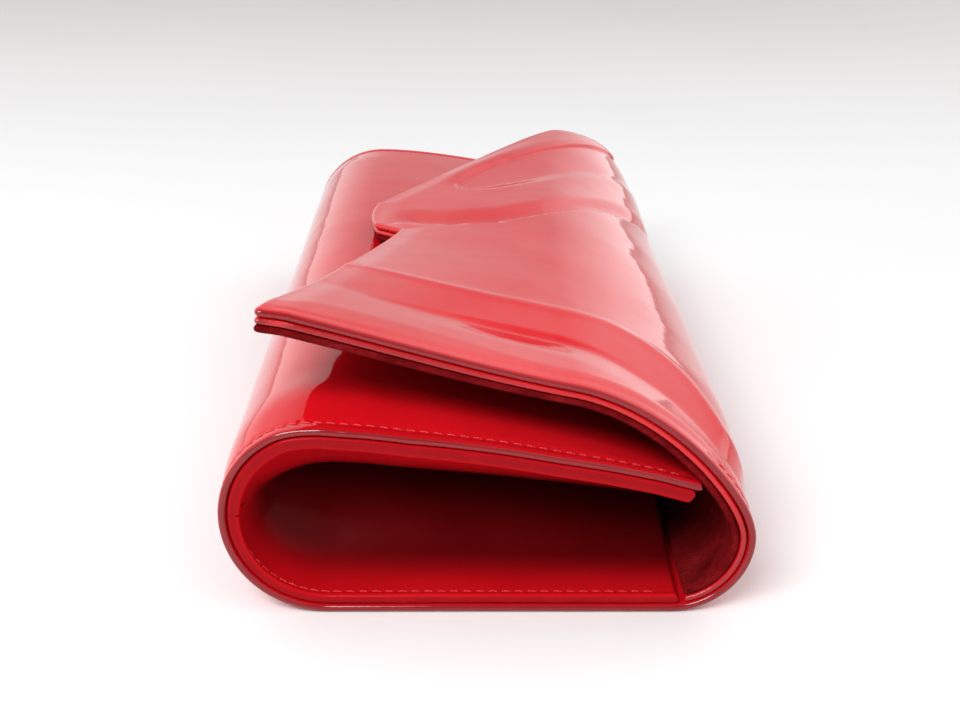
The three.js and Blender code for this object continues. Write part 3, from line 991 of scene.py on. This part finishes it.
def compartment_lining():
    """The lining of both panels in one piece, and the leather facing inside the mouth."""
    half = half_of(LINING)
    xs = columns_for(LINING_INSET, half)
    length = -BEND_S - mouth_s(0)
    f = rows_between(FACING_AT_MOUTH, length, 2.0) / length
    back_end = FOLD_Y - 3 - BEND_Y + BEND_S
    S = np.concatenate([front_rows(xs, f), strip_rows(xs, rows_between(-BEND_S, back_end, 1.2)[1:])])
    piece = ply("compartment_lining", xs, S, LINING, woven)
    place(piece, ("base", "front"), MOUTH_LINE)
    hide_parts("front_lining", "back_lining")
    grid = shell(xs, S)
    band = rows_between(1.5, FACING_AT_MOUTH - 0.4, 1.5)
    band = np.concatenate([1.0 + half * TURN, band[1:]])
    S = front_rows(xs, band / length)
    piece = ply("mouth_facing_leather", xs, S, LINING, facing, round_s=(True, False))
    place(piece, "front")
    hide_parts("mouth_facing")


def slip_pocket():
    """A patch pocket on the back lining. Its top edge is bound, and hangs a little open."""
    half_width, low, high, corner = 75.0, -32.0, 30.0, 8.0
    turn = low + corner * (1 - np.cos(np.linspace(0.06, math.pi / 2, 9)))
    y = np.concatenate([turn, np.linspace(low + corner, high, 30)[1:]])
    cut = np.maximum(corner - (y - low), 0)
    width = half_width - corner + np.sqrt(np.maximum(corner**2 - cut**2, 0))
    across_width = np.linspace(-1, 1, 61)
    X = width[:, None] * across_width[None, :]
    Y = np.repeat(y[:, None], len(across_width), axis=1)
    rise = smooth((Y - low) / (high - low)) * (1 - across_width[None, :] ** 4)
    Z = 5.35 + 0.5 * rise + 0.05 * np.sin(X / 6) * np.sin(Y / 9)
    top = np.stack([X, Y, Z + 0.35], 2)
    bottom = np.stack([X, Y, Z - 0.1], 2)
    points, faces = slab(top, bottom, np.zeros(X.shape, bool))
    faces = [f[::-1] for f in faces]
    piece = make("slip_pocket_cloth", points, faces, woven)
    place(piece, "base")
    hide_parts("slip_pocket")
    sides = 16
    ring = np.linspace(0, 2 * math.pi, sides, endpoint=False)
    xs = np.linspace(-half_width, half_width, 76)
    points = []
    for x in xs:
        z = 5.55 + 0.45 * (1 - (x / half_width) ** 4)
        squeeze = 1 - 0.06 * math.cos(2 * math.pi * x / STITCH)
        points += [(x, 31.4 + 2.0 * math.cos(a), z + 0.75 * squeeze * math.sin(a)) for a in ring]
    faces = []
    for i in range(0, (len(xs) - 1) * sides, sides):
        for k in range(sides):
            q = (k + 1) % sides
            faces.append([i + k, i + q, i + sides + q, i + sides + k])
    faces.append(list(range(sides - 1, -1, -1)))
    faces.append([(len(xs) - 1) * sides + k for k in range(sides)])
    piece = make("slip_pocket_edge", points, [f[::-1] for f in faces], facing)
    place(piece, "base")
    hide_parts("slip_pocket_binding")


def flap_stiffener():
    half = half_of(FLAP_BOARD)
    inset = 10
    xs = columns_for(inset, half)
    edge = np.array([edge_s(x) for x in xs]) - inset
    f = np.linspace(0, 1, 40)[:, None]
    S = (FLAP_BLEND_END + 1) * (1 - f) + np.maximum(edge, FLAP_BLEND_END + 4)[None, :] * f
    piece = ply("flap_stiffener", xs, S, FLAP_BOARD, board)
    place(piece, "flap")
    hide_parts("flap_board")


def closure_magnet():
    """A thin disc inside the suede ply, so that it doesn't show when the flap is open."""
    low, high = cad("flap_magnet")
    x, y = (low + high)[:2] / 2
    radius = (high[0] - low[0]) / 2
    s = FLAP_S + (FLAP_Y - y) / Y_PER_S
    n = outward([x], np.array([[s]]))[0, 0]
    sides = 32
    rim = np.array([
        shell([x + radius * math.cos(a)], np.array([[s + radius * math.sin(a)]]))[0, 0]
        for a in np.linspace(0, 2 * math.pi, sides, endpoint=False)
    ])
    points = np.concatenate([rim - n * (SUEDE[0] + 0.3), rim - n * (SUEDE[1] - 0.5)])
    nexts = [(k + 1) % sides for k in range(sides)]
    faces = [[k, q, sides + q, sides + k] for k, q in enumerate(nexts)]
    faces += [list(range(sides - 1, -1, -1)), list(range(sides, 2 * sides))]
    piece = make("closure_magnet", points, faces, steel)
    place(piece, "flap")
    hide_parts("flap_magnet")


# Sewing.


def halfway(a, b):
    """Stitch middles between a and b, halfway between holes at whole pitches."""
    first = math.ceil(a / STITCH)
    last = math.floor(b / STITCH)
    return (np.arange(first, last) + 0.5) * STITCH


def sew(name, rows, bodies, line, scale=1.0):
    """Rows of stitches in one piece. Each row is its centres, ways and normals."""
    points, faces = capsules(*(sum(column, []) for column in zip(*rows)), scale)
    piece = make(name, points, faces, thread, 80)
    place(piece, bodies, line)


def sew_ends(name, start, end, bodies, line):
    rows = [stitch_row(e * (HALF - STITCH_INSET), halfway(start, end)) for e in (-1, 1)]
    sew(name, rows, bodies, line)


def sewing():
    sew_ends("stitches_panel", mouth_s(HALF) + 4, STRIP_S[0] - 1, ("base", "front"), MOUTH_LINE)
    for name, start, end, bodies, _, moved in STRIPS:
        line = strip_line(start, end, moved, 0)
        sew_ends("stitches_" + name, start, end, bodies, line)
    ends = []
    for e in (-1, 1):
        x = e * (HALF - STITCH_INSET)
        ends.append(stitch_row(x, halfway(STRIP_S[3], edge_s(x) - 5)))
    sew("stitches_flap", ends, ("fold_c", "flap"), flap_line(0), 0.6)


def sew_gusset(name, grid, out, s_values, ws):
    """Stitches on the side of the gusset that shows."""
    k = int(np.argmin(np.abs(ws * SEAM - GUSSET_STITCH)))
    centres, ways, normals = [], [], []
    for s in halfway(s_values[0] + 4, s_values[-1] - 3):
        if abs(s) < 1.2:  # clear of the butt joint
            continue
        i = int(np.argmin(np.abs(s_values - s)))
        centres.append(grid[i, k] - out[i, k] * (GUSSET_HALF - 0.12))
        ways.append(grid[i + 1, k] - grid[i - 1, k])
        normals.append(-out[i, k])
    sew(f"stitches_{name}_gusset", [(centres, ways, normals)], ("base", "front"), MOUTH_LINE)


FIBRE_RADIUS = 0.035


def nap(name, xs, S, count, bodies, line):
    """Short suede fibres that stand out of a ply's cut edge. xs and S give the edge's points."""
    points, faces = [], []
    for pick in RANDOM.uniform(0, len(xs) - 1.001, count):
        x = float(np.interp(pick, range(len(xs)), xs))
        s = float(np.interp(pick, range(len(xs)), S))
        at = np.array([[s]])
        n = outward([x], at)[0, 0]
        root = shell([x], at)[0, 0] - n * RANDOM.uniform(SUEDE[0] + 0.3, SUEDE[1] - 0.1)
        away = RANDOM.normal(0, 0.5, 3) - n * RANDOM.uniform(0.1, 1.0)
        if abs(x) > HALF - 2:
            away[0] += math.copysign(0.9, x)
        else:
            away[1] -= 0.9
        away /= np.linalg.norm(away)
        side = np.cross(away, n)
        side /= np.linalg.norm(side)
        other = np.cross(away, side)
        length = RANDOM.uniform(0.25, 0.8)
        r = FIBRE_RADIUS
        a = len(points)
        b, c, tip = a + 1, a + 2, a + 3
        points += [root + r * side, root - r * side * 0.5 + r * other, root - r * side * 0.5 - r * other]
        points.append(root + away * length + RANDOM.normal(0, 0.08, 3))
        faces += [[a, b, tip], [b, c, tip], [c, a, tip], [a, c, b]]
    piece = make(name, points, faces, suede)
    place(piece, bodies, line)


def naps():
    for name, start, end, bodies, _, moved in STRIPS:
        s = np.linspace(max(start, FACING_S) + 1, end - 0.3, 30)
        x = np.full(len(s), HALF - 0.7)
        line = strip_line(start, end, moved, SUEDE[1])
        nap("nap_" + name, np.concatenate([x, -x]), np.concatenate([s, s]), 160, bodies, line)
    near = np.linspace(STRIP_S[3] + 0.3, edge_s(HALF) - 1, 60)
    along = np.linspace(HALF - 1, -HALF + 2, 160)
    x = np.concatenate([np.full(len(near), HALF - 0.7), along])
    s = np.concatenate([near, np.array([edge_s(v) for v in np.round(along, 3)]) - 0.7])
    nap("nap_flap", x, s, 1100, ("fold_c", "flap"), flap_line(SUEDE[1]))


panel_leather()
fold_strips()
flap()
flap_stiffener()
closure_magnet()
for end_name, end_sign in (("near", 1), ("far", -1)):
    parts = gusset(end_name, end_sign)
    gusset_lining(end_name, end_sign, *parts)
    sew_gusset(end_name, *parts)
compartment_lining()
slip_pocket()
sewing()
naps()

for node in ("back_board", "front_board", "bottom_board_lower", "bottom_board_upper"):
    frame["nodes"][node].material_slots[0].material = board
frame["nodes"]["front_keeper_disc"].material_slots[0].material = steel

# Floor, light and camera.


def floor():
    """A plain pale floor, with painted shade that makes it a little darker far behind the purse."""
    m = Shader("pale_floor")
    near = m.ramp(m.noise(3, 3), (0.3, (0.80, 0.79, 0.795)), (0.8, (0.83, 0.825, 0.83)))
    far = m.ramp(m.noise(3, 3), (0.3, (0.60, 0.57, 0.55)), (0.8, (0.63, 0.60, 0.58)))
    # The far tone is painted shade, where less light reaches the floor.
    tone = m.mixed(m.step(m.along("X"), -1.3, -0.2), far, near)
    matt = m.finish(tone, m.spread(m.noise(30, 2), 0.55, 0.7), m.noise(400, 3), 0.00005, 0.3)
    size, z = 6000, -0.15  # just under the purse's lowest point
    points = [(-size, -size, z), (size, -size, z), (size, size, z), (-size, size, z)]
    plane = make("floor", points, [[0, 1, 2, 3]], matt)


# A pale light tent: its brightness along each axis, where 0 to 1 stands for -1 to 1. It is
# brightest at both sides and beyond the purse, and dimmest behind the camera and overhead.
TENT = {
    "Z": [(0.5, 0.50), (0.58, 0.46), (0.64, 0.42), (0.69, 0.40), (0.79, 0.44), (1.0, 0.30)],
    "X": [(0.0, 1.0), (0.5, 1.0), (0.78, 0.7), (1.0, 0.45)],
    "Y": [
        (0.0, 0.75), (0.3, 0.75), (0.5, 0.4), (0.56, 0.45), (0.66, 0.9), (0.8, 1.0), (1.0, 0.9),
    ],
}
TENT_STRENGTH = 3.75
LAMP_AT = (0.64, -0.30, 0.66)
LAMP_SIZE = (0.5, 0.3)
LAMP_ENERGY = 6.6


def studio():
    world = bpy.data.worlds.new("studio")
    world.use_nodes = True
    bpy.context.scene.world = world
    tree = world.node_tree
    coord = tree.nodes.new("ShaderNodeTexCoord")
    split = tree.nodes.new("ShaderNodeSeparateXYZ")
    tree.links.new(coord.outputs["Generated"], split.inputs[0])

    def gradient(axis, stops):
        ramp = tree.nodes.new("ShaderNodeValToRGB")
        shift = tree.nodes.new("ShaderNodeMapRange")
        shift.inputs["From Min"].default_value = -1
        tree.links.new(split.outputs[axis], shift.inputs["Value"])
        tree.links.new(shift.outputs["Result"], ramp.inputs["Fac"])
        elements = ramp.color_ramp.elements
        while len(elements) < len(stops):
            elements.new(0.5)
        for element, (at, bright) in zip(elements, stops):
            element.position = at
            element.color = (bright, bright, bright, 1)
        return ramp.outputs["Color"]

    value, *factors = [gradient(axis, stops) for axis, stops in TENT.items()]
    for factor in factors:
        both = tree.nodes.new("ShaderNodeMix")
        both.data_type = "RGBA"
        both.blend_type = "MULTIPLY"
        both.inputs["Factor"].default_value = 1.0
        tree.links.new(value, both.inputs["A"])
        tree.links.new(factor, both.inputs["B"])
        value = both.outputs[2]
    background = tree.nodes["Background"]
    background.inputs["Strength"].default_value = TENT_STRENGTH
    tree.links.new(value, background.inputs["Color"])
    light = bpy.data.lights.new("softbox", "AREA")
    light.shape = "RECTANGLE"
    light.size, light.size_y = LAMP_SIZE
    light.energy = LAMP_ENERGY
    lamp = bpy.data.objects.new("softbox", light)
    lamp.location = LAMP_AT
    lamp.rotation_euler = Vector(lamp.location).to_track_quat("Z", "Y").to_euler()
    bpy.context.scene.collection.objects.link(lamp)


# The photograph's camera, solved from the purse's outlines.
EYE = (0.4098, -0.0077, 0.1816)
PITCH_YAW_ROLL = (22.40, 1.11, 0.58)  # degrees
LENS = 49.6


def camera():
    pitch, yaw, roll = (math.radians(v) for v in PITCH_YAW_ROLL)
    ahead = Vector((-math.cos(pitch) * math.cos(yaw), math.cos(pitch) * math.sin(yaw), -math.sin(pitch)))
    right = ahead.cross(Vector((0, 0, 1))).normalized()
    up = right.cross(ahead)
    r = right * math.cos(roll) + up * math.sin(roll)
    u = up * math.cos(roll) - right * math.sin(roll)
    lens = bpy.data.cameras.new("camera")
    lens.sensor_width = 36
    lens.lens = LENS
    lens.clip_start = 0.01
    lens.dof.use_dof = False
    eye = bpy.data.objects.new("camera", lens)
    eye.matrix_world = Matrix.Translation(EYE) @ Matrix((r, u, -ahead)).transposed().to_4x4()
    bpy.context.scene.collection.objects.link(eye)
    bpy.context.scene.camera = eye


floor()
studio()
camera()
bpy.context.scene.view_settings.view_transform = "Standard"
